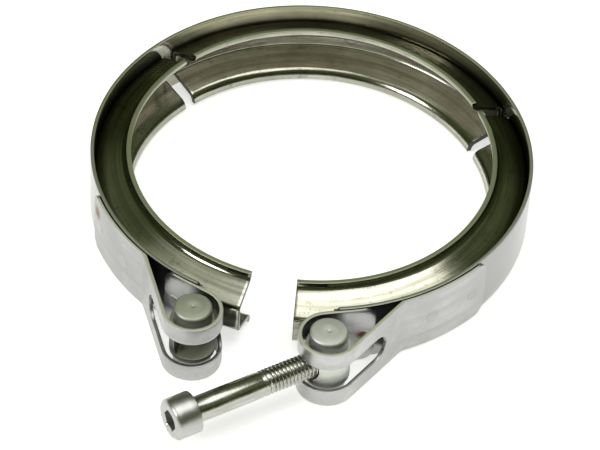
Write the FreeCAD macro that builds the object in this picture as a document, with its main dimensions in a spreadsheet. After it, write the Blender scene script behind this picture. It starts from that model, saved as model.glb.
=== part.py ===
"""V-band profile clamp: a spring band with three V segments, two trunnion loops and one screw.

Frame: the origin is the centre of the ring on its middle plane, +Z is the ring's axis, +Y points
to the middle of the rear segment, and the screw closes the opening that faces -Y.
Lengths are in millimetres and angles in degrees. A "front angle" is counted about +Z from -Y.
"""
import FreeCAD
import Part
import Sketcher
import os
from math import acos, cos, degrees, hypot, radians, sin

DIMENSIONS = [
    ("rim_radius", 70.0, "outer face of the outer band"),
    ("band_thickness", 1.2, "sheet of the outer band and of the loop straps"),
    ("band_half_width", 10.9, "half the width of the band and the straps"),
    ("band_end_angle", 17.0, "front angle at which the band is cut off"),
    ("flex_angle", 55.0, "angle from +Y to each place where the band bends"),
    ("flex_slit_angle", 0.25, "half the slit between band stretches at the bend"),
    ("rear_half_span", 53.1, "half the rear V segment"),
    ("arm_near_angle", 56.9, "angle from +Y to the near end of a side segment"),
    ("arm_far_angle", 173.0, "angle from +Y to the far end of a side segment"),
    ("sheet_thickness", 1.5, "sheet of the V segments"),
    ("web_half_height", 5.0, "outer corner of web and leg above the middle plane"),
    ("leg_angle", 20.0, "slope of a leg against the radial direction"),
    ("lip_radius", 57.2, "inner face of the turned-out lips"),
    ("lip_half_height", 10.6, "end of a lip above the middle plane"),
    ("loop_centre_radius", 79.8, "ring centre to loop centre"),
    ("loop_angle", 15.2, "front angle of the loop centre"),
    ("loop_inner_radius", 8.1, "inner face of a loop"),
    ("tail_end_angle", 27.5, "front angle of the short welded tail's end"),
    ("kink_angle", 34.7, "front angle at which the long tail leaves the band"),
    ("strap_end_angle", 60.5, "front angle of the long tail's end"),
    ("window_half_height", 4.8, "half the height of the slot in a loop"),
    ("window_start", 8.8, "kink to the near end of the slot"),
    ("window_overrun", 36.0, "how far the slot runs past the screw's direction"),
    ("trunnion_shift", 0.5, "how far a trunnion sits from its loop's centre, towards the ring"),
    ("barrel_radius", 7.0, "thick middle of a trunnion"),
    ("barrel_half_length", 6.2, "half the thick middle"),
    ("journal_radius", 5.8, "turned-down end of a trunnion"),
    ("trunnion_half_length", 11.6, "half the trunnion"),
    ("journal_chamfer", 0.5, "chamfer round a trunnion's end"),
    ("saddle_half_height", 4.5, "half the height of the slot in the saddle trunnion"),
    ("saddle_depth", 4.3, "slot floor behind the saddle trunnion's axis"),
    ("saddle_turn", 90.0, "saddle trunnion turned in its loop, so that its slot opens to +X"),
    ("shank_radius", 4.0, "plain shank and thread crests, M8"),
    ("thread_bore_radius", 4.05, "cross hole of the threaded trunnion"),
    ("tip_radius", 2.95, "end face of the screw's tip"),
    ("tip_length", 1.05, "chamfer at the screw's tip"),
    ("screw_length", 50.0, "under the head to the tip"),
    ("head_radius", 6.5, "socket head"),
    ("head_height", 8.0, "socket head"),
    ("head_chamfer", 0.8, "chamfer round the head's outer end"),
    ("key_width", 6.0, "hexagon socket across its flats"),
    ("key_depth", 4.0, "hexagon socket"),
    ("screw_reach", 46.0, "threaded trunnion's axis to the underside of the head"),
    ("screw_swing", 42.0, "screw swung out from the line that joins both trunnions"),
    ("nugget_radius", 2.3, "spot weld"),
    ("nugget_height", 0.15, "how far a spot weld stands out of its sheet"),
    ("overrun", 1.0, "how far a cutting solid reaches past the sheet it cuts"),
]

SEGMENT_WELD_ANGLES = (-36.0, 0.0, 36.0)
STRAP_WELD_ANGLES = (24.3, 43.0, 56.0)
FRONT = 270.0
REAR = 90.0
LEAST_CUT = 1.0  # mm3 that a pocket has to take away

doc = FreeCAD.newDocument("v_band_clamp")
sheet = doc.addObject("Spreadsheet::Sheet", "dims")
for row, (alias, value, meaning) in enumerate(DIMENSIONS, start=1):
    sheet.set(f"A{row}", alias)
    sheet.set(f"B{row}", str(value))
    sheet.setAlias(f"B{row}", alias)
    sheet.set(f"C{row}", meaning)
doc.recompute()

Z_AXIS = FreeCAD.Vector(0, 0, 1)
nodes = []


def cell(alias):
    """The value of one named cell."""
    return float(getattr(sheet, alias))


def turned(angle, x=0.0, y=0.0, z=0.0):
    """A placement at a point, turned about +Z."""
    return FreeCAD.Placement(FreeCAD.Vector(x, y, z), FreeCAD.Rotation(Z_AXIS, angle))


def polar(radius, angle):
    """The x and y of a point at a radius and an angle about +Z."""
    return radius * cos(radians(angle)), radius * sin(radians(angle))


def bind(obj, sizes):
    """Tie properties of an object to expressions of the sheet."""
    for name, expression in sizes.items():
        obj.setExpression(name, expression)


def finish_node(obj, label):
    """Name an object as one kept sub-part."""
    obj.Label = label
    nodes.append(obj)
    return obj


# ---- sketches and bodies ----

def new_body(name):
    """An empty body for one sub-part."""
    return doc.addObject("PartDesign::Body", name + "_body")


def new_sketch(body, name, role):
    """A sketch on one of the body's own origin planes."""
    sketch = body.newObject("Sketcher::SketchObject", name)
    plane = [item for item in body.Origin.OriginFeatures if item.Role == role][0]
    sketch.AttachmentSupport = (plane, [""])
    sketch.MapMode = "FlatFace"
    return sketch


def draw_polygon(sketch, corners):
    """A closed outline whose corners are pairs of expressions for its two coordinates."""
    spots = [tuple(float(sketch.evalExpression(text)) for text in corner) for corner in corners]
    count = len(spots)
    for index in range(count):
        start = FreeCAD.Vector(*spots[index], 0)
        end = FreeCAD.Vector(*spots[(index + 1) % count], 0)
        sketch.addGeometry(Part.LineSegment(start, end), False)
    for index in range(count):
        sketch.addConstraint(Sketcher.Constraint("Coincident", index, 2, (index + 1) % count, 1))
    for index in range(count):
        for kind, value, text in zip(("DistanceX", "DistanceY"), spots[index], corners[index]):
            number = sketch.addConstraint(Sketcher.Constraint(kind, -1, 1, index, 1, value))
            sketch.setExpression(f"Constraints[{number}]", text)


def draw_circle(sketch, radius_text):
    """A circle about the sketch's origin."""
    radius = float(sketch.evalExpression(radius_text))
    sketch.addGeometry(Part.Circle(FreeCAD.Vector(), Z_AXIS, radius), False)
    sketch.addConstraint(Sketcher.Constraint("Coincident", 0, 3, -1, 1))
    number = sketch.addConstraint(Sketcher.Constraint("Radius", 0, radius))
    sketch.setExpression(f"Constraints[{number}]", radius_text)


def revolve(body, sketch, angle_text="360"):
    """Turn a sketch on the XZ plane about the sketch's upright axis, half to each side."""
    feature = body.newObject("PartDesign::Revolution", sketch.Name + "_turned")
    feature.Profile = sketch
    feature.ReferenceAxis = (sketch, ["V_Axis"])
    feature.Midplane = True
    feature.setExpression("Angle", angle_text)
    doc.recompute()
    return feature


def pocket(body, sketch, length_text, midplane):
    """Cut a sketch out of the body, and prove that it took material away."""
    before = body.Shape.Volume
    feature = body.newObject("PartDesign::Pocket", sketch.Name + "_cut")
    feature.Profile = sketch
    feature.Midplane = midplane
    feature.setExpression("Length", length_text)
    doc.recompute()
    if body.Shape.Volume > before - LEAST_CUT:
        raise RuntimeError(sketch.Name + " cuts nothing")
    return feature


def centre_angle(start, end):
    """The angle halfway between two others."""
    return (start + end) / 2.0


# ---- V segments ----

OUTER = "(dims.rim_radius - dims.band_thickness)"
SLOPE = "tan(dims.leg_angle * 1 deg)"
THROUGH_LEG = "dims.sheet_thickness / cos(dims.leg_angle * 1 deg)"
LIP_OUTER = "(dims.lip_radius + dims.sheet_thickness)"
UPPER_HALF = [
    (OUTER, "dims.web_half_height"),
    (LIP_OUTER, f"dims.web_half_height + ({OUTER} - {LIP_OUTER}) * {SLOPE}"),
    (LIP_OUTER, "dims.lip_half_height"),
    ("dims.lip_radius", "dims.lip_half_height"),
    ("dims.lip_radius", f"dims.web_half_height + ({OUTER} - dims.lip_radius) * {SLOPE} - {THROUGH_LEG}"),
    (f"{OUTER} - dims.sheet_thickness",
     f"dims.web_half_height + dims.sheet_thickness * {SLOPE} - {THROUGH_LEG}"),
]
V_PROFILE = UPPER_HALF + [(x, f"-({z})") for x, z in reversed(UPPER_HALF)]


def v_segment(label, span_text, middle):
    """One roll-formed V segment: a web, two sloping legs and two turned-out lips."""
    body = new_body(label)
    sketch = new_sketch(body, label + "_profile", "XZ_Plane")
    draw_polygon(sketch, V_PROFILE)
    revolve(body, sketch, span_text)
    body.Placement = turned(middle)
    return finish_node(body, label)


# ---- outer band ----

def band_stretch(label, span_text, middle):
    """One stretch of the flat spring band."""
    body = new_body(label)
    sketch = new_sketch(body, label + "_profile", "XZ_Plane")
    half = "dims.band_half_width"
    draw_polygon(sketch, [(OUTER, f"-{half}"), ("dims.rim_radius", f"-{half}"),
                          ("dims.rim_radius", half), (OUTER, half)])
    revolve(body, sketch, span_text)
    body.Placement = turned(middle)
    return finish_node(body, label)


# ---- loop straps ----

def wall(name, inner_text, outer_text, half_text, start, sweep):
    """A stretch of upright cylindrical wall from one angle through a sweep."""
    rings = []
    for part_name, radius_text in (("outer", outer_text), ("inner", inner_text)):
        ring = doc.addObject("Part::Cylinder", f"{name}_{part_name}")
        bind(ring, {"Radius": radius_text, "Height": f"2 * {half_text}"})
        ring.Angle = sweep
        ring.Placement = turned(start, z=-float(ring.evalExpression(half_text)))
        rings.append(ring)
    cut = doc.addObject("Part::Cut", name)
    cut.Base, cut.Tool = rings
    return cut


def moved(obj, x, y):
    """Shift a boolean result in the XY plane."""
    obj.Placement = FreeCAD.Placement(FreeCAD.Vector(x, y, 0), FreeCAD.Rotation())
    return obj


def plank(name, start, end, side, half_text, thickness_text="dims.band_thickness"):
    """A straight upright wall from start to end, whose thickness lies to one side of that line."""
    length = hypot(end[0] - start[0], end[1] - start[1])
    heading = degrees(acos((end[0] - start[0]) / length))
    if end[1] < start[1]:
        heading = -heading
    box = doc.addObject("Part::Box", name)
    box.Length = length
    bind(box, {"Width": thickness_text, "Height": f"2 * {half_text}"})
    corner = FreeCAD.Vector(start[0], start[1], -float(box.evalExpression(half_text)))
    if side < 0:
        thickness = float(box.evalExpression(thickness_text))
        corner += FreeCAD.Vector(sin(radians(heading)), -cos(radians(heading)), 0) * thickness
    box.Placement = FreeCAD.Placement(corner, FreeCAD.Rotation(Z_AXIS, heading))
    return box


def loop_geometry():
    """Tangent points of the strap's inner face round the right-hand loop."""
    rim = cell("rim_radius")
    inner = cell("loop_inner_radius")
    centre = polar(cell("loop_centre_radius"), FRONT + cell("loop_angle"))
    # The short tail's outer face is tangent to the loop's inner face.
    tail_face = rim + cell("band_thickness")
    lean = degrees(acos((tail_face + inner) / cell("loop_centre_radius")))
    leave = FRONT + cell("loop_angle") + lean
    tail_point = polar(tail_face, leave)
    touch_angle = leave - 180.0
    touch_point = [c + p for c, p in zip(centre, polar(inner, touch_angle))]
    # The long tail's inner face runs from the kink to the loop's outer side.
    kink = polar(rim, FRONT + cell("kink_angle"))
    reach = hypot(kink[0] - centre[0], kink[1] - centre[1])
    to_kink = degrees(acos((kink[0] - centre[0]) / reach))
    free_angle = to_kink - degrees(acos(inner / reach))
    free_point = [c + p for c, p in zip(centre, polar(inner, free_angle))]
    return {"centre": centre, "leave": leave, "tail_point": tail_point,
            "touch_angle": touch_angle, "touch_point": touch_point, "kink": kink,
            "free_angle": free_angle, "free_point": free_point}


def build_loop_straps():
    """The right-hand strap from walls and planks, and the left-hand one as its mirror image."""
    geo = loop_geometry()
    half = "dims.band_half_width"
    tail_inner = "dims.rim_radius"
    tail_outer = "(dims.rim_radius + dims.band_thickness)"
    loop_outer = "(dims.loop_inner_radius + dims.band_thickness)"
    tail_end = FRONT + cell("tail_end_angle")
    kink_angle = FRONT + cell("kink_angle")
    strap_end = FRONT + cell("strap_end_angle")
    short_tail = wall("short_tail", tail_inner, tail_outer, half, geo["leave"], tail_end - geo["leave"])
    long_tail = wall("long_tail", tail_inner, tail_outer, half, kink_angle, strap_end - kink_angle)
    loop_sweep = geo["free_angle"] + 360.0 - geo["touch_angle"]
    loop = wall("loop", "dims.loop_inner_radius", loop_outer, half, geo["touch_angle"], loop_sweep)
    moved(loop, *geo["centre"])
    to_loop = plank("tail_to_loop", geo["tail_point"], geo["touch_point"], -1, half)
    to_kink = plank("loop_to_kink", geo["free_point"], geo["kink"], -1, half)
    blank = doc.addObject("Part::MultiFuse", "strap_blank")
    blank.Shapes = [short_tail, to_loop, loop, to_kink, long_tail]
    # The slot follows the strap from near the kink round the loop and past the screw's line.
    window = "dims.window_half_height"
    slot_loop = wall("slot_round_loop", "(dims.loop_inner_radius - dims.overrun)",
                     f"({loop_outer} + dims.overrun)", window,
                     FRONT - 90.0 - cell("window_overrun"),
                     geo["free_angle"] + 180.0 + cell("window_overrun"))
    moved(slot_loop, *geo["centre"])
    run = hypot(geo["kink"][0] - geo["free_point"][0], geo["kink"][1] - geo["free_point"][1])
    share = 1.0 - cell("window_start") / run
    slot_end = [f + share * (k - f) for f, k in zip(geo["free_point"], geo["kink"])]
    slot_plank = plank("slot_along_strap", geo["free_point"], slot_end, -1, window,
                       "dims.band_thickness + 2 * dims.overrun")
    back_off = FreeCAD.Vector(*polar(cell("overrun"), geo["free_angle"] + 180.0), 0)
    slot_plank.Placement.Base = slot_plank.Placement.Base + back_off
    slot = doc.addObject("Part::MultiFuse", "strap_slot")
    slot.Shapes = [slot_loop, slot_plank]
    right = doc.addObject("Part::Cut", "right_strap")
    right.Base, right.Tool = blank, slot
    left = doc.addObject("Part::Mirroring", "left_strap")
    left.Source = right
    left.Base = FreeCAD.Vector(0, 0, 0)
    left.Normal = FreeCAD.Vector(1, 0, 0)
    finish_node(left, "loop_strap_left")
    finish_node(right, "loop_strap_right")


# ---- spot welds ----

def spot_welds(label, face_text, direction, angles):
    """Low round weld nuggets that stand out of a cylindrical sheet face, inwards or outwards."""
    nuggets = []
    top_text = f"({face_text} + ({direction}) * dims.nugget_height)"
    low_text, high_text = (top_text, face_text) if direction < 0 else (face_text, top_text)
    for index, angle in enumerate(angles):
        plug = doc.addObject("Part::Cylinder", f"{label}_plug_{index}")
        bind(plug, {"Radius": "dims.nugget_radius", "Height": f"{face_text} + dims.overrun"})
        level = FreeCAD.Rotation(FreeCAD.Vector(0, 1, 0), 90)
        plug.Placement = FreeCAD.Placement(FreeCAD.Vector(), FreeCAD.Rotation(Z_AXIS, angle) * level)
        nuggets.append(plug)
    plugs = doc.addObject("Part::MultiFuse", label + "_plugs")
    plugs.Shapes = nuggets
    shell = wall(label + "_shell", low_text, high_text, "dims.band_half_width", 0.0, 360.0)
    welds = doc.addObject("Part::Common", label + "_nuggets")
    welds.Base, welds.Tool = plugs, shell
    return finish_node(welds, label)


# ---- trunnions ----

TRUNNION_HALF = [
    ("0", "dims.trunnion_half_length"),
    ("dims.journal_radius - dims.journal_chamfer", "dims.trunnion_half_length"),
    ("dims.journal_radius", "dims.trunnion_half_length - dims.journal_chamfer"),
    ("dims.journal_radius", "dims.barrel_half_length"),
    ("dims.barrel_radius", "dims.barrel_half_length"),
]
TRUNNION_PROFILE = TRUNNION_HALF + [(x, f"-({z})") for x, z in reversed(TRUNNION_HALF)]


def trunnion_point(side):
    """Where the axis of a trunnion stands: side is -1 for left and 1 for right."""
    loop = polar(cell("loop_centre_radius"), FRONT + side * cell("loop_angle"))
    share = 1.0 - cell("trunnion_shift") / cell("loop_centre_radius")
    return loop[0] * share, loop[1] * share


def trunnion_blank(label):
    """A turned pin with a thick middle."""
    body = new_body(label)
    sketch = new_sketch(body, label + "_profile", "XZ_Plane")
    draw_polygon(sketch, TRUNNION_PROFILE)
    revolve(body, sketch)
    return body


def saddle_trunnion():
    """The left pin, with an open slot that the screw swings into."""
    label = "saddle_trunnion"
    body = trunnion_blank(label)
    sketch = new_sketch(body, label + "_slot", "YZ_Plane")
    half = "dims.saddle_half_height"
    front = "-(dims.barrel_radius + dims.overrun)"
    draw_polygon(sketch, [(front, f"-{half}"), ("dims.saddle_depth", f"-{half}"),
                          ("dims.saddle_depth", half), (front, half)])
    pocket(body, sketch, "2 * (dims.barrel_radius + dims.overrun)", True)
    body.Placement = turned(cell("saddle_turn"), *trunnion_point(-1))
    return finish_node(body, label)


def threaded_trunnion():
    """The right pin, with the cross hole that the screw is held in."""
    label = "threaded_trunnion"
    body = trunnion_blank(label)
    sketch = new_sketch(body, label + "_bore", "YZ_Plane")
    draw_circle(sketch, "dims.thread_bore_radius")
    pocket(body, sketch, "2 * (dims.barrel_radius + dims.overrun)", True)
    body.Placement = turned(cell("screw_swing"), *trunnion_point(1))
    return finish_node(body, label)


# ---- screw ----

SCREW_PROFILE = [
    ("0", "-dims.screw_length"),
    ("dims.tip_radius", "-dims.screw_length"),
    ("dims.shank_radius", "-dims.screw_length + dims.tip_length"),
    ("dims.shank_radius", "0"),
    ("dims.head_radius", "0"),
    ("dims.head_radius", "dims.head_height - dims.head_chamfer"),
    ("dims.head_radius - dims.head_chamfer", "dims.head_height"),
    ("0", "dims.head_height"),
]


def socket_head_screw():
    """A socket head cap screw along its own Z, head up, with the underside of its head at zero."""
    label = "socket_head_screw"
    body = new_body(label)
    sketch = new_sketch(body, label + "_profile", "XZ_Plane")
    draw_polygon(sketch, SCREW_PROFILE)
    revolve(body, sketch)
    socket = new_sketch(body, label + "_socket", "XY_Plane")
    socket.setExpression("AttachmentOffset.Base.z", "dims.head_height")
    doc.recompute()
    corners = []
    for index in range(6):
        corner = f"dims.key_width / sqrt(3) * {{}}({60 * index} * 1 deg)"
        corners.append((corner.format("cos"), corner.format("sin")))
    draw_polygon(socket, corners)
    pocket(body, socket, "dims.key_depth", False)
    heading = 180.0 + cell("screw_swing")
    axis_x, axis_y = polar(cell("screw_reach"), heading)
    pin_x, pin_y = trunnion_point(1)
    level = FreeCAD.Rotation(FreeCAD.Vector(0, 1, 0), 90)
    body.Placement = FreeCAD.Placement(FreeCAD.Vector(pin_x + axis_x, pin_y + axis_y, 0),
                                       FreeCAD.Rotation(Z_AXIS, heading) * level)
    return finish_node(body, label)


# ---- assembly ----

def build():
    """Every sub-part in its place."""
    flex = cell("flex_angle")
    slit = cell("flex_slit_angle")
    arm_middle = centre_angle(cell("arm_near_angle"), cell("arm_far_angle"))
    arm_span = "dims.arm_far_angle - dims.arm_near_angle"
    band_start = flex + slit
    band_end = 180.0 - cell("band_end_angle")
    band_middle = centre_angle(band_start, band_end)
    band_span = "180 - dims.band_end_angle - dims.flex_angle - dims.flex_slit_angle"
    v_segment("v_segment_rear", "2 * dims.rear_half_span", REAR)
    v_segment("v_segment_left", arm_span, REAR + arm_middle)
    v_segment("v_segment_right", arm_span, REAR - arm_middle)
    band_stretch("outer_band_rear", "2 * (dims.flex_angle - dims.flex_slit_angle)", REAR)
    band_stretch("outer_band_left", band_span, REAR + band_middle)
    band_stretch("outer_band_right", band_span, REAR - band_middle)
    build_loop_straps()
    web_face = f"({OUTER} - dims.sheet_thickness)"
    strap_face = "(dims.rim_radius + dims.band_thickness)"
    for name, middle in (("rear", REAR), ("left", REAR + arm_middle), ("right", REAR - arm_middle)):
        angles = [middle + offset for offset in SEGMENT_WELD_ANGLES]
        spot_welds("segment_welds_" + name, web_face, -1, angles)
    for name, side in (("left", -1), ("right", 1)):
        angles = [FRONT + side * angle for angle in STRAP_WELD_ANGLES]
        spot_welds("strap_welds_" + name, strap_face, 1, angles)
    saddle_trunnion()
    threaded_trunnion()
    socket_head_screw()
    doc.recompute()


def check_and_write():
    """Refuse any failed object or bad solid, then write one file for each sub-part."""
    for obj in doc.Objects:
        if "Invalid" in obj.State or "Error" in obj.State:
            raise RuntimeError(f"{obj.Name} failed: {obj.State}")
    os.makedirs("parts", exist_ok=True)
    for obj in nodes:
        shape = obj.Shape
        if shape.isNull() or not shape.isValid():
            raise RuntimeError(obj.Label + " has a bad shape")
        print(f"{obj.Label:22s} solids {len(shape.Solids)}  volume {shape.Volume:9.1f} mm3")
        shape.exportStep(f"parts/{obj.Label}.step")


build()
check_and_write()
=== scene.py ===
"""Looks of the V-band profile clamp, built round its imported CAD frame.

Sizes are in millimetres, as in the CAD model, and turned into metres when a mesh or a shader is made.
Angles are in degrees about the ring's axis, +Z, counted from +X unless a comment says otherwise.
"""
import random
from math import acos, atan2, cos, degrees, pi, radians, sin, sqrt, tan

import bmesh
import bpy
from mathutils import Matrix, Vector


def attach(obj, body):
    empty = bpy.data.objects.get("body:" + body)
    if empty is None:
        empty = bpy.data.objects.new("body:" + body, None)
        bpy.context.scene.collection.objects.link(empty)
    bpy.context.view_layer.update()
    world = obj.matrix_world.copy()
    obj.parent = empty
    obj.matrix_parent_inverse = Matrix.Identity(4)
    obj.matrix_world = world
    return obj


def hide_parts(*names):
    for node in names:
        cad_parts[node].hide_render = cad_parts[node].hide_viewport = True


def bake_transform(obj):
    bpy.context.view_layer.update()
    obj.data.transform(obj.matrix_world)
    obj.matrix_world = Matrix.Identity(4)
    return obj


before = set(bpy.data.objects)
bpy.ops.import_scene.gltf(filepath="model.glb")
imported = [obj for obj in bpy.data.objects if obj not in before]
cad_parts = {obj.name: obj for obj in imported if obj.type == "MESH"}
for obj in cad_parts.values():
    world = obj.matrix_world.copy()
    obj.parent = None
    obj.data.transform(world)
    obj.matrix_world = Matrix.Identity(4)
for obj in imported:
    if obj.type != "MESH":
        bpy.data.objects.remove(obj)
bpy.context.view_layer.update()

MM = 0.001
FRONT = 270.0
REAR = 90.0

# ---- sizes of the CAD model ----

RIM = 70.0              # outer face of the band
GAUGE = 1.2             # thickness of band and straps
BAND_HALF = 10.9        # half the width of band and straps
BAND_END = 17.0         # each end of the band, away from the front
REAR_SPAN = 53.1        # each end of the rear V segment, away from the rear
ARM_NEAR = 56.9         # near end of a side V segment, away from the rear
ARM_FAR = 173.0         # far end of a side V segment, away from the rear
SHEET = 1.5             # thickness of the V segments
WEB_HALF = 5.0          # half the V's web, outside
LEG = radians(20.0)     # slope of the V's legs
LIP = 57.2              # inner face of the lips
LIP_HALF = 10.6         # end of a lip above the middle plane
LOOP_REACH = 79.8       # ring centre to loop centre
LOOP_ANGLE = 15.2       # loop centre, away from the front
LOOP_INNER = 8.1        # inner face of a loop
TAIL_END = 27.5         # end of a strap's short tail, away from the front
KINK = 34.7             # where a strap leaves the band for its loop, away from the front
STRAP_END = 60.5        # far end of a strap, away from the front
WINDOW_HALF = 4.8       # half the width of a strap's slot
WINDOW_START = 8.8      # the kink to the slot, along the strap
WINDOW_OVERRUN = 36.0   # how far the slot goes round the inner side of the loop
TRUNNION_SHIFT = 0.5    # a trunnion sits this much nearer the ring's centre than its loop
BARREL = 7.0            # thick middle of a trunnion
BARREL_HALF = 6.2       # half its length
JOURNAL = 5.8           # turned-down end of a trunnion
TRUNNION_HALF = 11.6    # half a trunnion's length
SADDLE_HALF = 4.5       # half the width of the saddle's open slot
SADDLE_DEPTH = 4.3      # the slot's floor, past the trunnion's axis
SADDLE_TURN = 90.0      # how far the saddle has turned in its loop
SHANK = 4.0             # screw shank and thread crests
BORE = 4.05             # cross hole of the threaded trunnion
SCREW_LENGTH = 50.0     # under the head to the tip
HEAD = 6.5              # screw head
HEAD_HEIGHT = 8.0
KEY = 6.0               # hexagon socket across its flats
KEY_DEPTH = 4.0
SCREW_REACH = 46.0      # trunnion axis to the underside of the head
HEADING = 222.0         # where the screw points, from its trunnion to its head
SEGMENT_WELDS = (-36.0, 0.0, 36.0)      # from the middle of each V segment
STRAP_WELDS = (24.3, 43.0, 56.0)        # away from the front

BAND_OUTER = RIM - GAUGE
BAND_MIDDLE = RIM - GAUGE / 2.0
STRAP_MIDDLE = RIM + GAUGE / 2.0
ARM_MIDDLE = (ARM_NEAR + ARM_FAR) / 2.0
ARM_SPAN = (ARM_FAR - ARM_NEAR) / 2.0

# Name, middle and half span of each V segment, and the body that carries it.
SEGMENTS = (
    ("rear", REAR, REAR_SPAN, "rear"),
    ("left", REAR + ARM_MIDDLE, ARM_SPAN, "left_arm"),
    ("right", REAR - ARM_MIDDLE, ARM_SPAN, "right_arm"),
)

# ---- details that only the looks have ----

THREAD_LENGTH = 26.5
PITCH = 1.25
THREAD_DEPTH = 0.72
STRAP_CORNER = 4.0      # rounding of a strap's outer corners
END_STEP = 0.8          # step in the band's upper edge at each end
END_STEP_LENGTH = 1.6
BAND_SPARE = 1.5        # each half of the band runs this far past the rear middle before it is trimmed
SEAM_SHADOW_WIDTH = 0.45       # width of the painted shadow line between strap and band
TOOL_FEED = 0.42        # spacing of the tool rings on a turned face
BURN_LEFT = (-57.5, 5.0, 4.4)           # angle from the front, height and radius of a heat mark
BURN_RIGHT = (23.9, 0.5, 3.2)
EDGE_TINT = (0.40, 0.43, 0.29)
STRAP_EDGE_TINT = (0.62, 0.64, 0.52)
# Brownish painted shade inside the V groove.
GROOVE_SHADE = (0.20, 0.17, 0.13)
# Painted shade in the corners between the V's legs and the band.
CORNER_SHADE = (0.05, 0.05, 0.035)
SAWN_END = (0.07, 0.07, 0.06)
SOOT = (0.10, 0.10, 0.08)
ROLL_MARK = (0.16, 0.16, 0.11)
UNLIT = (0.03, 0.03, 0.03)
# Painted shadow between strap and band.
SEAM_SHADOW = (0.01, 0.01, 0.01)
SLOT_SHADE = (0.10, 0.10, 0.10)
HEAD_STEEL = (0.46, 0.46, 0.47)

# Height in the room, from straight down to straight up, and its light: pale below eye level, dark and
# green above it, bright overhead.
ROOM = [
    (0.0, 0.9), (0.49, 0.9), (0.515, (0.88, 0.88, 0.58)), (0.54, (0.32, 0.37, 0.16)),
    (0.60, (0.06, 0.08, 0.03)), (0.68, (0.025, 0.032, 0.012)), (0.78, (0.115, 0.138, 0.068)),
    (0.90, (0.11, 0.135, 0.075)), (0.95, (0.85, 0.88, 0.74)), (1.0, 1.0),
]


def polar(radius, angle):
    return radius * cos(radians(angle)), radius * sin(radians(angle))


def loop_centre(side):
    """The middle of the loop on the left, -1, or the right, 1."""
    return polar(LOOP_REACH, FRONT + side * LOOP_ANGLE)


def trunnion_axis(side):
    share = 1.0 - TRUNNION_SHIFT / LOOP_REACH
    x, y = loop_centre(side)
    return x * share, y * share


def metres(point):
    """A point in millimetres as a tuple in metres."""
    return tuple(c * MM for c in point)


def moved(x, y, z=0.0):
    return Matrix.Translation(metres((x, y, z)))


def about(axis, angle):
    return Matrix.Rotation(radians(angle), 4, axis)


# ---- mesh helpers ----

def make_object(name, verts, faces):
    """A mesh object from points in millimetres."""
    mesh = bpy.data.meshes.new(name)
    mesh.from_pydata([metres(v) for v in verts], [], faces)
    mesh.validate()
    obj = bpy.data.objects.new(name, mesh)
    bpy.context.scene.collection.objects.link(obj)
    return obj


def settle(obj, smooth_angle=32.0):
    """Apply the modifiers, point the faces outwards and shade them smooth up to an angle."""
    bpy.context.view_layer.update()
    evaluated = obj.evaluated_get(bpy.context.evaluated_depsgraph_get())
    mesh = bpy.data.meshes.new_from_object(evaluated)
    obj.modifiers.clear()
    obj.data = mesh
    work = bmesh.new()
    work.from_mesh(mesh)
    bmesh.ops.remove_doubles(work, verts=work.verts, dist=1e-6)
    bmesh.ops.recalc_face_normals(work, faces=work.faces)
    work.to_mesh(mesh)
    work.free()
    mesh.polygons.foreach_set("use_smooth", [True] * len(mesh.polygons))
    mesh.set_sharp_from_angle(angle=radians(smooth_angle))
    return obj


def bevel(obj, width, limit):
    """Ease the edges that are sharper than a limit."""
    modifier = obj.modifiers.new("edge", "BEVEL")
    modifier.width = width * MM
    modifier.segments = 2
    modifier.limit_method = "ANGLE"
    modifier.angle_limit = radians(limit)
    modifier.harden_normals = False


def cut(obj, tool):
    """Take one mesh away from another."""
    modifier = obj.modifiers.new("cut", "BOOLEAN")
    modifier.operation = "DIFFERENCE"
    modifier.solver = "EXACT"
    modifier.object = tool


def drop(obj):
    bpy.data.objects.remove(obj, do_unlink=True)


def rounded(corners, radii, steps=8):
    """A closed outline whose corners are replaced by arcs."""
    outline = []
    count = len(corners)
    for index, (corner, radius) in enumerate(zip(corners, radii)):
        here = Vector(corner)
        before = (Vector(corners[index - 1]) - here).normalized()
        after = (Vector(corners[(index + 1) % count]) - here).normalized()
        half = before.angle(after) / 2.0
        nearly_straight = half > 1.55
        if radius <= 0.0 or nearly_straight:
            outline.append(tuple(here))
            continue
        run = radius / tan(half)
        centre = here + (before + after).normalized() * (radius / sin(half))
        start = here + before * run - centre
        turn = start.angle_signed(here + after * run - centre)
        for step in range(steps + 1):
            angle = -turn * step / steps
            spot = Vector((start.x * cos(angle) - start.y * sin(angle),
                           start.x * sin(angle) + start.y * cos(angle)))
            outline.append(tuple(centre + spot))
    return outline


def sweep_ring(name, outline, start, end, shift, step=1.0):
    """A closed outline of radius and height carried round the ring, moved at each angle by a shift."""
    count = int(round((end - start) / step))
    verts = []
    for index in range(count + 1):
        angle = start + (end - start) * index / count
        for radius, z in outline:
            outwards, upwards = shift(angle, radius, z)
            x, y = polar(radius + outwards, angle)
            verts.append((x, y, z + upwards))
    size = len(outline)
    faces = [list(range(size)), [count * size + i for i in reversed(range(size))]]
    for index in range(count):
        low = index * size
        for i in range(size):
            j = (i + 1) % size
            faces.append([low + i, low + size + i, low + size + j, low + j])
    return make_object(name, verts, faces)


def circle(radius_at, z, steps):
    """Points round the Z axis, with a radius for each angle."""
    points = []
    for i in range(steps):
        angle = 2.0 * pi * i / steps
        radius = radius_at(angle)
        points.append((radius * cos(angle), radius * sin(angle), z))
    return points


def lathe(name, profile, steps):
    """An open profile of radius and height, turned about Z; it starts and ends on the axis."""
    verts = []
    rings = []
    for radius, z in profile:
        on_axis = radius < 1e-6
        points = [(0.0, 0.0, z)] if on_axis else circle(lambda angle: radius, z, steps)
        rings.append(list(range(len(verts), len(verts) + len(points))))
        verts += points
    faces = []
    for low, high in zip(rings, rings[1:]):
        for i in range(steps):
            j = (i + 1) % steps
            if len(low) == 1:
                faces.append([low[0], high[i], high[j]])
            elif len(high) == 1:
                faces.append([low[i], high[0], low[j]])
            else:
                faces.append([low[i], high[i], high[j], low[j]])
    return make_object(name, verts, faces)


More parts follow.
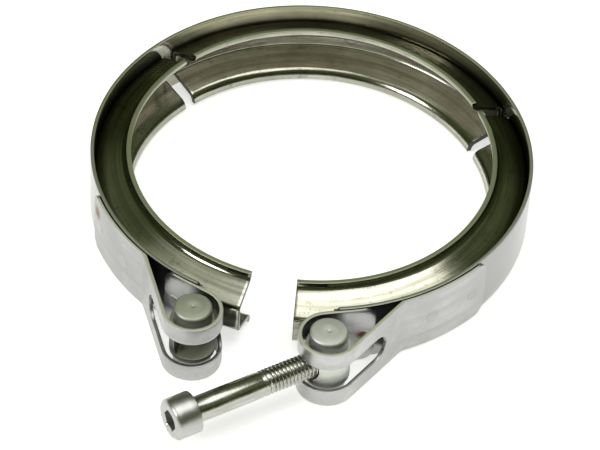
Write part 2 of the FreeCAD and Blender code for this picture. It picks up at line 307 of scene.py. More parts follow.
def smooth_path(points, spot, reach, rounds=12):
    """Ease the bend of a dense path near a spot."""
    points = [Vector(p) for p in points]
    near = [i for i, p in enumerate(points)
            if (p - Vector(spot)).length < reach and 0 < i < len(points) - 1]
    for _ in range(rounds):
        fresh = {i: (points[i - 1] + points[i] * 2 + points[i + 1]) / 4 for i in near}
        for i, p in fresh.items():
            points[i] = p
    return points


def boundary(faces):
    """The edges that belong to one face only, in that face's direction."""
    used = {}
    for face in faces:
        for a, b in zip(face, face[1:] + face[:1]):
            used.setdefault(frozenset((a, b)), []).append((a, b))
    return [pairs[0] for pairs in used.values() if len(pairs) == 1]


def bent_strip(name, path, top, bottom, window=None, levels=5):
    """A sheet standing on a path in the XY plane, with an optional slot round its middle height.

    The heights of its edges and half the slot's width are functions of the distance along the path.
    """
    path = [Vector(p) for p in path]
    travelled = [0.0]
    for a, b in zip(path, path[1:]):
        travelled.append(travelled[-1] + (b - a).length)
    total = travelled[-1]
    grid = []
    normals = []
    upper = []
    lower = []
    for index, (point, s) in enumerate(zip(path, travelled)):
        along = (path[min(index + 1, len(path) - 1)] - path[max(index - 1, 0)]).normalized()
        gap = window(s) if window else 0.0
        row = []
        for k in range(levels + 1):
            row.append(len(grid))
            grid.append((point, gap + (top(s, total) - gap) * k / levels))
        upper.append(row)
        # Without a slot here, both halves share the point on the middle line.
        shared = gap <= 0.0
        row = [row[0]] if shared else []
        for k in range(1 if shared else 0, levels + 1):
            row.append(len(grid))
            grid.append((point, -gap + (bottom(s, total) + gap) * k / levels))
        lower.append(row)
        normals += [Vector((-along.y, along.x))] * (len(grid) - len(normals))
    faces = []
    for rows, flip in ((upper, False), (lower, True)):
        for a, b in zip(rows, rows[1:]):
            for k in range(levels):
                face = [a[k], b[k], b[k + 1], a[k + 1]]
                faces.append(face[::-1] if flip else face)
    size = len(grid)
    verts = []
    for side in (0.5, -0.5):
        for (point, z), normal in zip(grid, normals):
            spot = point + normal * (GAUGE * side)
            verts.append((spot.x, spot.y, z))
    solid = faces + [[i + size for i in reversed(face)] for face in faces]
    solid += [[b, a, a + size, b + size] for a, b in boundary(faces)]
    obj = make_object(name, verts, solid)
    bevel(obj, 0.22, 60.0)
    return obj


# ---- shader helpers ----

def metal(name):
    """A new metal material with its shader and a graph to build its nodes."""
    material = bpy.data.materials.new(name)
    material.use_nodes = True
    shader = material.node_tree.nodes["Principled BSDF"]
    shader.inputs["Metallic"].default_value = 1.0
    return material, shader, Graph(material.node_tree)


class Graph:
    """A short way to write shader nodes."""

    def __init__(self, tree):
        self.tree = tree
        self.place = tree.nodes.new("ShaderNodeTexCoord").outputs["Object"]

    def link(self, value, socket):
        if isinstance(value, bpy.types.NodeSocket):
            self.tree.links.new(value, socket)
        else:
            socket.default_value = value

    def math(self, operation, a, b=0.0, clamp=False):
        node = self.tree.nodes.new("ShaderNodeMath")
        node.operation = operation
        node.use_clamp = clamp
        self.link(a, node.inputs[0])
        self.link(b, node.inputs[1])
        return node.outputs[0]

    def times(self, a, b):
        return self.math("MULTIPLY", a, b)

    def vector_math(self, operation, a, b):
        node = self.tree.nodes.new("ShaderNodeVectorMath")
        node.operation = operation
        self.link(a, node.inputs[0])
        self.link(b, node.inputs[1])
        return node.outputs["Value"]

    def split(self, vector):
        node = self.tree.nodes.new("ShaderNodeSeparateXYZ")
        self.link(vector, node.inputs[0])
        return node.outputs

    def join(self, x, y, z):
        node = self.tree.nodes.new("ShaderNodeCombineXYZ")
        for value, socket in zip((x, y, z), node.inputs):
            self.link(value, socket)
        return node.outputs[0]

    def radius(self, x, y):
        return self.math("SQRT", self.math("ADD", self.times(x, x), self.times(y, y)))

    def scaled(self, value, start, size):
        """A value in metres that starts at one length and counts in another, both in millimetres."""
        return self.math("DIVIDE", self.math("SUBTRACT", value, start * MM), size * MM)

    def facing(self, sign):
        """Grows from 0 to 1 where a face looks away from the ring's axis, or towards it for -1."""
        normal = self.tree.nodes.new("ShaderNodeNewGeometry").outputs["Normal"]
        outwards = self.vector_math("DOT_PRODUCT", normal, self.place)
        return self.rise(self.math("DIVIDE", outwards, sign * RIM * MM), 0.05, 0.35)

    def noise(self, vector, scale, detail, roughness):
        node = self.tree.nodes.new("ShaderNodeTexNoise")
        self.link(vector, node.inputs["Vector"])
        node.inputs["Scale"].default_value = scale
        node.inputs["Detail"].default_value = detail
        node.inputs["Roughness"].default_value = roughness
        return node.outputs["Fac"]

    def ramp(self, value, stops):
        """Map a value through a ramp; each stop is a place and a grey or a colour."""
        node = self.tree.nodes.new("ShaderNodeValToRGB")
        self.link(value, node.inputs[0])
        elements = node.color_ramp.elements
        while len(elements) < len(stops):
            elements.new(0.5)
        for element, (place, colour) in zip(elements, stops):
            element.position = place
            if not isinstance(colour, tuple):
                colour = (colour, colour, colour)
            element.color = (*colour, 1.0)
        return node.outputs[0]

    def rise(self, value, low, high):
        """Grows from 0 to 1 between two values."""
        return self.ramp(value, [(low, 0.0), (high, 1.0)])

    def fall(self, value, low, high, top=1.0):
        """Drops from the top to 0 between two values."""
        return self.ramp(value, [(low, top), (high, 0.0)])

    def mix(self, factor, a, b):
        node = self.tree.nodes.new("ShaderNodeMix")
        node.data_type = "RGBA"
        self.link(factor, node.inputs[0])
        for value, socket in zip((a, b), (node.inputs[6], node.inputs[7])):
            self.link((*value, 1.0) if isinstance(value, tuple) else value, socket)
        return node.outputs[2]

    def spread(self, rough, noise, width, clamp=False):
        """A roughness that a noise moves up and down."""
        return self.math("ADD", rough, self.times(self.math("SUBTRACT", noise, 0.5), width), clamp)

    def bump(self, height, strength, distance, normal=None):
        node = self.tree.nodes.new("ShaderNodeBump")
        node.inputs["Strength"].default_value = strength
        node.inputs["Distance"].default_value = distance * MM
        self.link(height, node.inputs["Height"])
        if normal:
            self.link(normal, node.inputs["Normal"])
        return node.outputs[0]


# ---- materials ----

def along_ring(g):
    """Coordinates in which a fine grain runs round the ring and along the bands."""
    x, y, z = g.split(g.place)
    along = g.times(g.math("ADD", x, g.times(y, 0.7)), 0.035)
    return g.join(g.radius(x, y), z, along)


def groove_shade(g, colour, amount):
    """Paint brownish shade into the inside of the V, and darker shade into the corners between its legs
    and the band.
    """
    x, y, z = g.split(g.place)
    radius = g.radius(x, y)
    # Height of a leg's middle at this radius: what lies below it faces into the groove.
    leg = g.math("ADD", g.times(g.math("SUBTRACT", BAND_OUTER * MM, radius), tan(LEG)),
                 (WEB_HALF - SHEET / cos(LEG) / 2.0) * MM)
    below = g.math("SUBTRACT", leg, g.math("ABSOLUTE", z))
    inside = g.rise(g.math("DIVIDE", below, 0.6 * MM), 0.4, 0.6)
    depth = g.scaled(radius, LIP, RIM - LIP)
    deep = g.ramp(depth, [(0.10, 0.0), (0.30, 0.75), (0.70, 0.55), (0.80, 0.15)])
    colour = g.mix(g.times(g.times(inside, deep), amount), colour, GROOVE_SHADE)
    # Outside the V the painted shade in the corners fades out towards the front.
    from_front = g.rise(g.math("ADD", g.math("DIVIDE", y, 2.0 * RIM * MM), 0.5), 0.16, 0.42)
    outer = g.times(g.rise(depth, 0.62, 0.80), g.math("SUBTRACT", 1.0, inside))
    return g.mix(g.times(g.times(outer, from_front), 0.8), colour, CORNER_SHADE)


def cut_ends(g, colour):
    """Darken the sawn end faces of the V segments."""
    x, y, _ = g.split(g.place)
    turned = g.math("ARCTAN2", g.math("ABSOLUTE", x), y)
    radius = g.radius(x, y)
    for end in (REAR_SPAN, ARM_NEAR, ARM_FAR):
        away = g.times(g.math("ABSOLUTE", g.math("SUBTRACT", turned, radians(end))), radius)
        at_end = g.fall(g.math("DIVIDE", away, 0.4 * MM), 0.35, 0.60)
        colour = g.mix(at_end, colour, SAWN_END)
    return colour


def loop_shade(g, colour, amount):
    """Darken a strap's inner faces, the inside of its loop and the wall behind the pin."""
    x, y, _ = g.split(g.place)
    centre = loop_centre(1)
    folded = g.join(g.math("ABSOLUTE", x), y, 0.0)
    from_loop = g.vector_math("DISTANCE", folded, metres((*centre, 0.0)))
    share = g.math("DIVIDE", from_loop, 2.0 * LOOP_INNER * MM)
    in_loop = g.fall(share, 0.51, 0.53)
    beside = g.fall(share, 0.54, 0.66)
    behind = g.rise(g.scaled(y, centre[1], 10.0), 0.15, 0.30)
    hidden = g.math("MAXIMUM", g.facing(-1), in_loop)
    hidden = g.math("MAXIMUM", hidden, g.times(behind, beside))
    return g.mix(g.times(hidden, amount), colour, UNLIT)


def edge_mask(g, start):
    """1 on the sheet's upper and lower edges, from a height above or below the middle plane."""
    height = g.math("ABSOLUTE", g.split(g.place)[2])
    return g.rise(g.scaled(height, start, 0.1), 0.2, 0.8)


def seam_shadow(g, colour, on_edge):
    """A painted shadow line along the strap's edge, where strap and band touch."""
    x, y, _ = g.split(g.place)
    away = g.math("ABSOLUTE", g.math("SUBTRACT", g.radius(x, y), (RIM + SEAM_SHADOW_WIDTH / 2.0) * MM))
    shadow_line = g.fall(g.math("DIVIDE", away, SEAM_SHADOW_WIDTH * MM), 0.5, 0.7)
    return g.mix(g.times(shadow_line, on_edge), colour, SEAM_SHADOW)


def heat_mark(g, colour, base, burn):
    """A ragged brown ring that fades into the steel, on the strap's outer face."""
    angle, height, size = burn
    centre = metres((*polar(RIM + GAUGE, FRONT + angle), height))
    ragged = g.math("ADD", g.vector_math("DISTANCE", g.place, centre),
                    g.times(g.noise(g.place, scale=900.0, detail=3.0, roughness=0.55), 1.2 * MM))
    reach = g.math("DIVIDE", ragged, size * MM)
    strength = g.ramp(reach, [(0.0, 0.85), (0.45, 0.95), (0.75, 0.35), (1.0, 0.0)])
    tint = g.ramp(reach, [(0.0, (0.04, 0.03, 0.03)), (0.35, (0.13, 0.06, 0.035)),
                          (0.62, (0.26, 0.15, 0.09)), (0.85, (0.40, 0.34, 0.26)), (1.0, base)])
    return g.mix(strength, colour, tint)


def sheet_steel(name, base, dark, rough, grain=0.5, mottle=0.3, scratch=0.4, burn=None, soot=0.0,
                groove=0.0, edge=0.0, shade=0.0, outside=None):
    """Rolled stainless sheet: fine grain along the strip, cloudy polish, scratches and heat marks."""
    material, shader, g = metal(name)
    lines = along_ring(g)
    fine = g.noise(lines, scale=2600.0, detail=3.0, roughness=0.6)
    broad = g.noise(lines, scale=420.0, detail=4.0, roughness=0.6)
    cloud = g.noise(g.place, scale=70.0, detail=5.0, roughness=0.6)
    speck = g.noise(g.place, scale=1500.0, detail=2.0, roughness=0.5)
    marks = g.rise(g.noise(lines, scale=900.0, detail=6.0, roughness=0.75), 0.60, 0.68)
    colour = g.mix(g.rise(broad, 0.30, 0.72), dark, base)
    colour = g.mix(g.times(g.fall(cloud, 0.38, 0.62), mottle), colour, dark)
    colour = g.mix(g.times(g.fall(speck, 0.30, 0.36), 0.35), colour, tuple(c * 0.45 for c in dark))
    if soot > 0.0:
        patches = g.rise(g.noise(g.place, scale=260.0, detail=6.0, roughness=0.7), 0.56, 0.66)
        colour = g.mix(g.times(patches, soot), colour, SOOT)
    if groove > 0.0:
        # Painted shade inside the V groove and in its corners.
        colour = cut_ends(g, groove_shade(g, colour, groove))
        colour = g.mix(g.times(marks, 0.55), colour, ROLL_MARK)
    if shade > 0.0:
        colour = loop_shade(g, colour, shade)
    if edge > 0.0:
        on_edge = edge_mask(g, edge)
        colour = g.mix(on_edge, colour, STRAP_EDGE_TINT if shade > 0.0 else EDGE_TINT)
        if shade > 0.0:
            # Painted shadow line where strap and band touch.
            colour = seam_shadow(g, colour, on_edge)
    if outside:
        colour = g.mix(g.facing(1), colour, outside)
    if burn:
        colour = heat_mark(g, colour, base, burn)
    g.link(colour, shader.inputs["Base Color"])
    roughness = g.spread(rough, broad, 0.16 + 0.2 * mottle)
    roughness = g.math("ADD", roughness, g.times(marks, 0.12 * scratch), clamp=True)
    if edge > 0.0:
        roughness = g.math("ADD", roughness, g.times(on_edge, 0.3), clamp=True)
    g.link(roughness, shader.inputs["Roughness"])
    normal = g.bump(fine, strength=0.10 * grain, distance=0.4)
    normal = g.bump(marks, strength=0.18 * scratch, distance=0.06, normal=normal)
    normal = g.bump(cloud, strength=0.20 * mottle, distance=0.6, normal=normal)
    g.link(normal, shader.inputs["Normal"])
    return material


def turned_steel(name, base, dark, rough, centre, recess=0.0):
    """Turned stainless bar: tool rings on the end faces, fine lines round the sides, a shaded slot."""
    material, shader, g = metal(name)
    x, y, z = g.split(g.place)
    dx = g.math("SUBTRACT", x, centre[0] * MM)
    dy = g.math("SUBTRACT", y, centre[1] * MM)
    radius = g.radius(dx, dy)
    lines = g.join(radius, z, g.times(g.math("ADD", dx, dy), 0.06))
    feed = g.math("SINE", g.times(radius, 2.0 * pi / (TOOL_FEED * MM)))
    fine = g.noise(lines, scale=2400.0, detail=3.0, roughness=0.6)
    broad = g.noise(lines, scale=500.0, detail=4.0, roughness=0.6)
    cloud = g.noise(g.place, scale=160.0, detail=4.0, roughness=0.6)
    colour = g.mix(g.rise(broad, 0.32, 0.70), dark, base)
    colour = g.mix(g.times(g.fall(cloud, 0.40, 0.60), 0.3), colour, dark)
    if recess > 0.0:
        inside = g.fall(g.math("DIVIDE", g.math("ABSOLUTE", z), recess * MM), 0.93, 0.97, top=0.8)
        colour = g.mix(inside, colour, SLOT_SHADE)
    g.link(colour, shader.inputs["Base Color"])
    g.link(g.spread(rough, broad, 0.2, clamp=True), shader.inputs["Roughness"])
    normal = g.bump(fine, strength=0.12, distance=0.4)
    normal = g.bump(feed, strength=0.10, distance=0.05, normal=normal)
    g.link(normal, shader.inputs["Normal"])
    return material


def screw_steel(name, base, dark, rough):
    """Bright rolled screw with a satin head: lines along its length, cloudy polish and small knocks."""
    material, shader, g = metal(name)
    x, y, z = g.split(g.place)
    forward = polar(1.0, HEADING)
    along = g.math("ADD", g.times(x, forward[0]), g.times(y, forward[1]))
    across = g.math("SUBTRACT", g.times(y, forward[0]), g.times(x, forward[1]))
    stretched = g.join(across, z, g.times(along, 0.15))
    streak = g.noise(stretched, scale=700.0, detail=4.0, roughness=0.6)
    cloud = g.noise(g.place, scale=240.0, detail=5.0, roughness=0.65)
    knock = g.rise(g.noise(g.place, scale=520.0, detail=3.0, roughness=0.5), 0.64, 0.70)
    colour = g.mix(g.rise(streak, 0.32, 0.68), dark, base)
    colour = g.mix(g.times(g.fall(cloud, 0.40, 0.60), 0.35), colour, dark)
    pin = trunnion_axis(1)
    head_start = pin[0] * forward[0] + pin[1] * forward[1] + SCREW_REACH
    head = g.rise(g.scaled(along, head_start, 1.0), 0.0, 0.3)
    colour = g.mix(g.times(head, 0.5), colour, HEAD_STEEL)
    g.link(colour, shader.inputs["Base Color"])
    roughness = g.math("ADD", g.spread(rough, cloud, 0.25), g.times(head, 0.14), clamp=True)
    g.link(roughness, shader.inputs["Roughness"])
    normal = g.bump(cloud, strength=0.12, distance=0.5)
    normal = g.bump(knock, strength=0.15, distance=0.08, normal=normal)
    g.link(normal, shader.inputs["Normal"])
    return material


def paint(obj, material):
    obj.data.materials.clear()
    obj.data.materials.append(material)


# ---- V segments ----

def v_outline():
    """The sheet's section as radius and height, with rolled bends."""
    lip_outer = LIP + SHEET
    slope = tan(LEG)
    through = SHEET / cos(LEG)
    # Radius, height and bend of each corner above the middle plane, outside first.
    half = [
        (BAND_OUTER, WEB_HALF, 2.2),
        (lip_outer, WEB_HALF + (BAND_OUTER - lip_outer) * slope, 2.4),
        (lip_outer, LIP_HALF, 0.2),
        (LIP, LIP_HALF, 0.2),
        (LIP, WEB_HALF + (BAND_OUTER - LIP) * slope - through, 3.4),
        (BAND_OUTER - SHEET, WEB_HALF + SHEET * slope - through, 0.8),
    ]
    corners = half + [(radius, -z, bend) for radius, z, bend in reversed(half)]
    return rounded([corner[:2] for corner in corners], [corner[2] for corner in corners])


def roll_marks(seed):
    """A shift that makes a rolled section a little uneven along its length, most at its lips."""
    rng = random.Random(seed)
    phases = [rng.uniform(0.0, 2.0 * pi) for _ in range(4)]
    dent = 0.010
    waviness = 0.009

    def shift(angle, radius, z):
        turn = radians(angle)
        inward = (BAND_OUTER - radius) / (BAND_OUTER - LIP)
        wave = sin(5 * turn + phases[0]) + 0.6 * sin(11 * turn + phases[1])
        lift = sin(7 * turn + phases[2]) + 0.5 * sin(17 * turn + phases[3])
        return -abs(wave) * dent * inward, lift * waviness * inward * (1 if z > 0 else -1)

    return shift


def build_segments(material):
    for index, (name, centre, span, body) in enumerate(SEGMENTS):
        obj = sweep_ring("v_segment_" + name + "_looks", v_outline(), centre - span, centre + span,
                         roll_marks(index + 3))
        bevel(obj, 0.15, 60.0)
        settle(obj)
        paint(obj, material)
        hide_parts("v_segment_" + name)
        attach(obj, body)


# ---- outer band ----

def trim_at_rear(obj, side):
    """Cut one half of the band flush at the rear middle, so that the two halves meet without a groove."""
    work = bmesh.new()
    work.from_mesh(obj.data)
    everything = work.verts[:] + work.edges[:] + work.faces[:]
    bmesh.ops.bisect_plane(work, geom=everything, plane_co=(0.0, 0.0, 0.0), plane_no=(side, 0.0, 0.0))
    spare = [f for f in work.faces
             if f.calc_center_median().x * side < 0.0 and f.calc_center_median().y > 0.0]
    bmesh.ops.delete(work, geom=spare, context="FACES")
    rim = [e for e in work.edges if e.is_boundary]
    bmesh.ops.holes_fill(work, edges=rim)
    work.to_mesh(obj.data)
    work.free()
    obj.data.set_sharp_from_angle(angle=radians(32.0))


def build_band(material):
    """Each half of the spring band runs from the rear middle to its end."""
    count = 240

    def top(s, total):
        return BAND_HALF - (END_STEP if total - s < END_STEP_LENGTH else 0.0)

    def bottom(s, total):
        return -BAND_HALF

    for side, name, body in ((-1, "left", "left_arm"), (1, "right", "right_arm")):
        path = []
        for i in range(count + 1):
            swept = (180.0 - BAND_END + BAND_SPARE) * i / count - BAND_SPARE
            path.append(polar(BAND_MIDDLE, REAR - side * swept))
        obj = bent_strip("outer_band_" + name + "_half", path, top, bottom)
        settle(obj)
        trim_at_rear(obj, side)
        paint(obj, material)
        if side > 0:
            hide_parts("outer_band_right")
        else:
            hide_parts("outer_band_left", "outer_band_rear")
        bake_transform(obj)


# ---- loop straps ----

def strap_path():
    """The middle line of the right-hand strap, and the distances at which its slot starts and ends."""
    loop = LOOP_INNER + GAUGE / 2.0
    centre = Vector(loop_centre(1))
    lean = degrees(acos((STRAP_MIDDLE + loop) / LOOP_REACH))
    leave = FRONT + LOOP_ANGLE + lean
    touch = leave - 180.0
    # The line from the loop to the kink runs beside the line that joins the two inner faces.
    kink = Vector(polar(RIM, FRONT + KINK))
    free = degrees(atan2(*(kink - centre).yx)) - degrees(acos(LOOP_INNER / (kink - centre).length))
    normal = Vector(polar(1.0, free))
    free_point = centre + normal * loop
    heading = (kink - (centre + normal * LOOP_INNER)).normalized()
    # Ahead along that line, the strap's middle line first meets the circle that it follows on the band.
    offset = free_point.dot(heading)
    root = sqrt(offset ** 2 - free_point.length ** 2 + STRAP_MIDDLE ** 2)
    near = -offset - root
    ahead = -offset + root
    meet = free_point + heading * (near if near > 0 else ahead)
    meet_angle = degrees(atan2(meet.y, meet.x)) % 360.0
    tail_start = FRONT + TAIL_END
    tail_point = Vector(polar(STRAP_MIDDLE, leave))
    touch_point = centre + Vector(polar(loop, touch))
    sweep = free + 360.0 - touch

    points = []
    for i in range(20):
        points.append(Vector(polar(STRAP_MIDDLE, tail_start + (leave - tail_start) * i / 20)))
    for i in range(20):
        points.append(tail_point.lerp(touch_point, i / 20))
    for i in range(110):
        points.append(centre + Vector(polar(loop, touch + sweep * i / 110)))
    for i in range(60):
        points.append(free_point.lerp(meet, i / 60))
    for i in range(91):
        points.append(Vector(polar(STRAP_MIDDLE, meet_angle + (FRONT + STRAP_END - meet_angle) * i / 90)))
    points = smooth_path(points, meet, 2.2)

    before_loop = (tail_point - Vector(polar(STRAP_MIDDLE, tail_start))).length
    before_loop += (touch_point - tail_point).length
    slot_begin = before_loop + radians(180.0 - WINDOW_OVERRUN - touch) * loop
    slot_end = before_loop + radians(sweep) * loop + (meet - free_point).length - WINDOW_START
    return points, slot_begin, slot_end


def build_straps(material_left, material_right):
    points, slot_begin, slot_end = strap_path()

    def window(s):
        depth = min(s - slot_begin, slot_end - s)
        if depth <= 0.0:
            return 0.0
        if depth >= WINDOW_HALF:
            return WINDOW_HALF
        return sqrt(WINDOW_HALF ** 2 - (WINDOW_HALF - depth) ** 2)

    def top(s, total):
        near = min(s, total - s)
        if near >= STRAP_CORNER:
            return BAND_HALF
        arc = sqrt(max(0.0, STRAP_CORNER ** 2 - (STRAP_CORNER - near) ** 2))
        return BAND_HALF - STRAP_CORNER + arc

    def bottom(s, total):
        return -top(s, total)

    for side, name, material in ((-1, "left", material_left), (1, "right", material_right)):
        path = [(side * p.x, p.y) for p in points]
        obj = bent_strip("loop_strap_" + name + "_looks", path, top, bottom, window, levels=6)
        settle(obj)
        paint(obj, material)
        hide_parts("loop_strap_" + name)
        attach(obj, name + "_arm")


# ---- spot welds ----

def nugget(name, radius, angle, outward):
    """One weld: a shallow dished button with a raised rim, on a cylindrical face."""
    profile = [(0.0, 0.02), (0.9, 0.03), (1.4, 0.07), (1.75, 0.09), (2.1, 0.06), (2.3, 0.0),
               (2.2, -0.15), (0.0, -0.15)]
    obj = lathe(name, profile, 40)
    turn = about("Z", angle) @ about("Y", 90.0 * outward)
    obj.data.transform(moved(*polar(radius, angle)) @ turn)
    return obj


def joined(name, parts):
    """One object from several meshes."""
    work = bmesh.new()
    for part in parts:
        work.from_mesh(part.data)
    mesh = bpy.data.meshes.new(name)
    work.to_mesh(mesh)
    work.free()
    for part in parts:
        drop(part)
    obj = bpy.data.objects.new(name, mesh)
    bpy.context.scene.collection.objects.link(obj)
    return obj


def build_welds(material, strap_material):
    """Three welds inside each V segment, and three outside each strap."""
    groups = []
    for name, centre, _, body in SEGMENTS:
        parts = [nugget(f"seg_{name}_{a}", BAND_OUTER - SHEET, centre + a, -1) for a in SEGMENT_WELDS]
        groups.append(("segment_welds_" + name, parts, body, material))
    for name, side in (("left", -1), ("right", 1)):
        parts = [nugget(f"strap_{name}_{a}", RIM + GAUGE, FRONT + side * a, 1) for a in STRAP_WELDS]
        groups.append(("strap_welds_" + name, parts, name + "_arm", strap_material))
    for node, parts, body, steel in groups:
        obj = settle(joined(node + "_looks", parts))
        paint(obj, steel)
        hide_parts(node)
        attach(obj, body)


# ---- trunnions ----

def trunnion_blank(name):
    """A turned pin with chamfered ends, a drilled centre and a thick middle."""
    end = TRUNNION_HALF
    shoulder = BARREL_HALF
    half = [
        (0.0, end - 0.22), (0.3, end - 0.14), (0.6, end - 0.03), (0.8, end),
        (JOURNAL - 0.6, end), (JOURNAL - 0.5, end - 0.03), (JOURNAL - 0.06, end - 0.45),
        (JOURNAL, end - 0.6), (JOURNAL, shoulder + 0.12), (JOURNAL + 0.12, shoulder),
        (BARREL - 0.3, shoulder), (BARREL - 0.06, shoulder - 0.08), (BARREL, shoulder - 0.3),
    ]
    return lathe(name, half + [(radius, -z) for radius, z in reversed(half)], 128)


def slot_tool():
    """A bar that cuts the saddle's slot, open at one side and rounded at its floor."""
    open_end = -BARREL - 2.0
    reach = 10.0
    slot = rounded([(open_end, -SADDLE_HALF), (SADDLE_DEPTH, -SADDLE_HALF),
                    (SADDLE_DEPTH, SADDLE_HALF), (open_end, SADDLE_HALF)], [0.0, 1.6, 1.6, 0.0])
    size = len(slot)
    verts = [(-reach, a, b) for a, b in slot] + [(reach, a, b) for a, b in slot]
    faces = [list(reversed(range(size))), [size + i for i in range(size)]]
    faces += [[i, (i + 1) % size, size + (i + 1) % size, size + i] for i in range(size)]
    return make_object("slot_tool", verts, faces)


def bore_tool():
    """A threaded bar that cuts the cross hole, wider where the hole is countersunk."""
    turns = int(2 * BARREL / PITCH) + 3
    reach = (turns + 0.5) * PITCH / 2
    sink_start = 5.2
    profile = [(0.0, reach)]
    for i in range(-turns, turns + 1):
        height = -i * PITCH / 2
        groove = 0.45 if i % 2 else 0.02
        sink = max(0.0, abs(height) - sink_start) * 0.7
        profile.append((BORE + max(groove, sink), height))
    profile.append((0.0, -reach))
    tool = lathe("bore_tool", profile, 64)
    tool.data.transform(about("Z", HEADING - 180.0) @ about("Y", 90.0))
    return tool


def build_trunnions(plain, threaded):
    left = trunnion_blank("saddle_trunnion_looks")
    tool = slot_tool()
    cut(left, tool)
    bevel(left, 0.18, 40.0)
    settle(left, 30.0)
    drop(tool)
    left.data.transform(moved(*trunnion_axis(-1)) @ about("Z", SADDLE_TURN))
    paint(left, plain)
    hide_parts("saddle_trunnion")
    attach(left, "saddle_trunnion")

    right = trunnion_blank("threaded_trunnion_looks")
    tool = bore_tool()
    cut(right, tool)
    bevel(right, 0.12, 60.0)
    settle(right, 30.0)
    drop(tool)
    right.data.transform(moved(*trunnion_axis(1)))
    paint(right, threaded)
    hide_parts("threaded_trunnion")
    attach(right, "threaded_trunnion")


# ---- screw ----

def thread_depth(z, angle):
    """Depth of a metric thread below its crest, 0 at the crest and 1 at the root."""
    phase = (z / PITCH - angle / (2.0 * pi)) % 1.0
    flank = abs(phase - 0.5) * 2.0
    return min(1.0, max(0.0, (flank - 0.14) / 0.68))


def screw_rings(steps):
    """Rings of points from the screw's tip to the middle of its socket's floor, along +Z."""
    start = -SCREW_LENGTH + THREAD_LENGTH
    point_length = 1.0
    run_out = 1.6 * PITCH
    stations = int(THREAD_LENGTH / (PITCH / 14.0))
    rings = []
    for station in range(stations + 1):
        z = -SCREW_LENGTH + THREAD_LENGTH * station / stations
        ceiling = SHANK - point_length + min(point_length, z + SCREW_LENGTH)
        strength = THREAD_DEPTH * min(1.0, max(0.0, (start - z) / run_out))
        rings.append(circle(lambda angle: min(SHANK - thread_depth(z, angle) * strength, ceiling),
                            z, steps))
    rolled = SHANK - 0.18
    body = [
        (rolled, start + 0.25), (rolled, start + 0.9), (SHANK, start + 1.4),
        (SHANK, -6.0), (SHANK, -0.9), (SHANK + 0.12, -0.35), (SHANK + 0.45, -0.05), (SHANK + 0.6, 0.0),
        (HEAD - 0.25, 0.0), (HEAD - 0.05, 0.06), (HEAD, 0.25), (HEAD, 2.0), (HEAD, 5.0),
        (HEAD, HEAD_HEIGHT - 1.0), (HEAD - 0.1, HEAD_HEIGHT - 0.75),
        (HEAD - 0.72, HEAD_HEIGHT - 0.08), (HEAD - 0.95, HEAD_HEIGHT),
        (KEY / sqrt(3.0) + 0.12, HEAD_HEIGHT),
    ]
    rings += [circle(lambda angle: radius, z, steps) for radius, z in body]

    def hexagon(angle):
        within = (angle + pi / 6.0) % (pi / 3.0) - pi / 6.0
        return KEY / 2.0 / cos(within)

    floor = HEAD_HEIGHT - KEY_DEPTH
    rings.append(circle(hexagon, HEAD_HEIGHT - 0.3, steps))
    rings.append(circle(hexagon, floor, steps))
    rings.append(circle(lambda angle: 2.2, floor - 0.05, steps))
    return rings


def build_screw(material):
    """The screw along its own Z: the underside of the head is at zero and the tip below it."""
    steps = 72
    rings = screw_rings(steps)
    verts = [point for ring in rings for point in ring]
    faces = []
    for index in range(len(rings) - 1):
        low = index * steps
        for i in range(steps):
            j = (i + 1) % steps
            faces.append([low + i, low + j, low + steps + j, low + steps + i])
    last = (len(rings) - 1) * steps
    drill_point = HEAD_HEIGHT - KEY_DEPTH - 1.1
    verts.append((0.0, 0.0, drill_point))
    for i in range(steps):
        faces.append([last + i, last + (i + 1) % steps, len(verts) - 1])
    faces.append(list(reversed(range(steps))))
    obj = make_object("socket_head_screw_looks", verts, faces)
    settle(obj, 34.0)
    pin = trunnion_axis(1)
    reach = polar(SCREW_REACH, HEADING)
    turn = about("Z", HEADING) @ about("Y", 90.0)
    obj.data.transform(moved(pin[0] + reach[0], pin[1] + reach[1]) @ turn)
    paint(obj, material)
    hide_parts("socket_head_screw")
    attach(obj, "screw")


# ---- studio ----

def build_floor():
    """A pale floor that glows a little, as a lit backdrop does, just under the trunnions."""
    half = 3000.0
    clearance = 0.05
    corners = [(-half, -half, 0.0), (half, -half, 0.0), (half, half, 0.0), (-half, half, 0.0)]
    floor = make_object("floor", corners, [[0, 1, 2, 3]])
    floor.location.z = -(TRUNNION_HALF + clearance) * MM
    material = bpy.data.materials.new("pale_floor")
    material.use_nodes = True
    shader = material.node_tree.nodes["Principled BSDF"]
    shader.inputs["Base Color"].default_value = (0.80, 0.80, 0.80, 1.0)
    shader.inputs["Roughness"].default_value = 0.9
    shader.inputs["Emission Color"].default_value = (1.0, 1.0, 1.0, 1.0)
    shader.inputs["Emission Strength"].default_value = 0.62
    floor.data.materials.append(material)


def build_room():
    world = bpy.data.worlds.new("studio")
    bpy.context.scene.world = world
    world.use_nodes = True
    back = world.node_tree.nodes["Background"]
    g = Graph(world.node_tree)
    direction = world.node_tree.nodes.new("ShaderNodeTexCoord").outputs["Generated"]
    height = g.split(direction)[2]
    g.link(g.ramp(g.math("ADD", g.times(height, 0.5), 0.5), ROOM), back.inputs["Color"])
    back.inputs["Strength"].default_value = 1.0


def area_light(name, place, target, size, power):
    light = bpy.data.lights.new(name, "AREA")
    light.shape = "RECTANGLE"
    light.size, light.size_y = size
    light.energy = power
    obj = bpy.data.objects.new(name, light)
    bpy.context.scene.collection.objects.link(obj)
    obj.location = place
    aim = Vector(target) - Vector(place)
    obj.rotation_euler = aim.to_track_quat("-Z", "Y").to_euler()


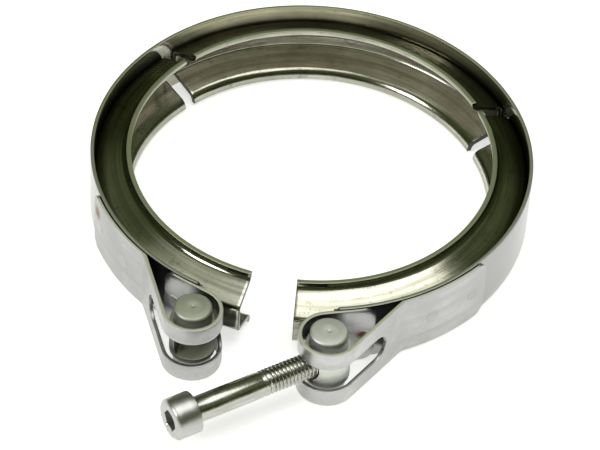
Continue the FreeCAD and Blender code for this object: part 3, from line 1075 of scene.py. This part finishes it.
def build_camera():
    """A long lens 14 rim radii away, 45 degrees up, a little to the right and with a slight roll."""
    azimuth = radians(9.16)
    elevation = radians(44.62)
    roll = radians(3.64)
    distance = 14.0 * RIM * MM
    left_shift = 3.407 * MM
    down_shift = 16.047 * MM
    back = Vector((sin(azimuth) * cos(elevation), -cos(azimuth) * cos(elevation), sin(elevation)))
    right = Vector((0.0, 0.0, 1.0)).cross(back).normalized()
    up = back.cross(right)
    right, up = right * cos(roll) + up * sin(roll), up * cos(roll) - right * sin(roll)
    data = bpy.data.cameras.new("camera")
    data.sensor_width = 36.0
    data.lens = 184.68
    data.clip_end = 20.0
    camera = bpy.data.objects.new("camera", data)
    bpy.context.scene.collection.objects.link(camera)
    matrix = Matrix((right, up, back)).transposed().to_4x4()
    matrix.translation = back * distance - right * left_shift - up * down_shift
    camera.matrix_world = matrix
    bpy.context.scene.camera = camera


# ---- the whole object ----

bpy.context.scene.view_settings.view_transform = "Standard"
build_camera()
build_floor()
build_room()
area_light("overhead", (0.22, -0.05, 1.1), (0.0, 0.0, 0.0), (0.9, 0.8), 4.2)
area_light("front_left", (-0.9, -0.8, 0.7), (0.0, -0.02, 0.0), (0.5, 0.5), 8.0)

SATIN = {"rough": 0.36, "grain": 0.9, "mottle": 0.8}
STRAP = {**SATIN, "scratch": 0.6, "edge": BAND_HALF - 0.15, "shade": 0.85}
segment_steel = sheet_steel("segment_steel", (0.66, 0.65, 0.57), (0.22, 0.22, 0.16), 0.14, grain=0.6,
                            mottle=0.4, scratch=1.0, soot=0.45, groove=0.45, edge=LIP_HALF - 0.2)
band_steel = sheet_steel("band_steel", (0.58, 0.57, 0.48), (0.36, 0.35, 0.27), 0.18, grain=0.6,
                         mottle=0.4, scratch=0.5, edge=BAND_HALF - 0.15, outside=(0.38, 0.38, 0.375))
# The left strap's colours are a darker copy of the right strap's: painted shade.
strap_left = sheet_steel("strap_steel_left", (0.52, 0.52, 0.515), (0.36, 0.36, 0.355),
                         burn=BURN_LEFT, **STRAP)
strap_right = sheet_steel("strap_steel_right", (0.60, 0.60, 0.60), (0.42, 0.42, 0.42),
                          burn=BURN_RIGHT, **STRAP)
weld_steel = sheet_steel("weld_mark", (0.46, 0.43, 0.38), (0.26, 0.23, 0.19), 0.38, mottle=0.8)
strap_weld_steel = sheet_steel("strap_weld_mark", (0.56, 0.56, 0.555), (0.39, 0.39, 0.385),
                               burn=BURN_RIGHT, **SATIN)
saddle_steel = turned_steel("saddle_steel", (0.56, 0.58, 0.49), (0.44, 0.46, 0.38), 0.56,
                            trunnion_axis(-1), recess=SADDLE_HALF)
barrel_steel = turned_steel("barrel_steel", (0.76, 0.77, 0.73), (0.62, 0.63, 0.59), 0.58, trunnion_axis(1))
bright_screw = screw_steel("screw_steel", (0.60, 0.58, 0.52), (0.38, 0.38, 0.36), 0.20)

build_segments(segment_steel)
build_band(band_steel)
build_straps(strap_left, strap_right)
build_welds(weld_steel, strap_weld_steel)
build_trunnions(saddle_steel, barrel_steel)
build_screw(bright_screw)
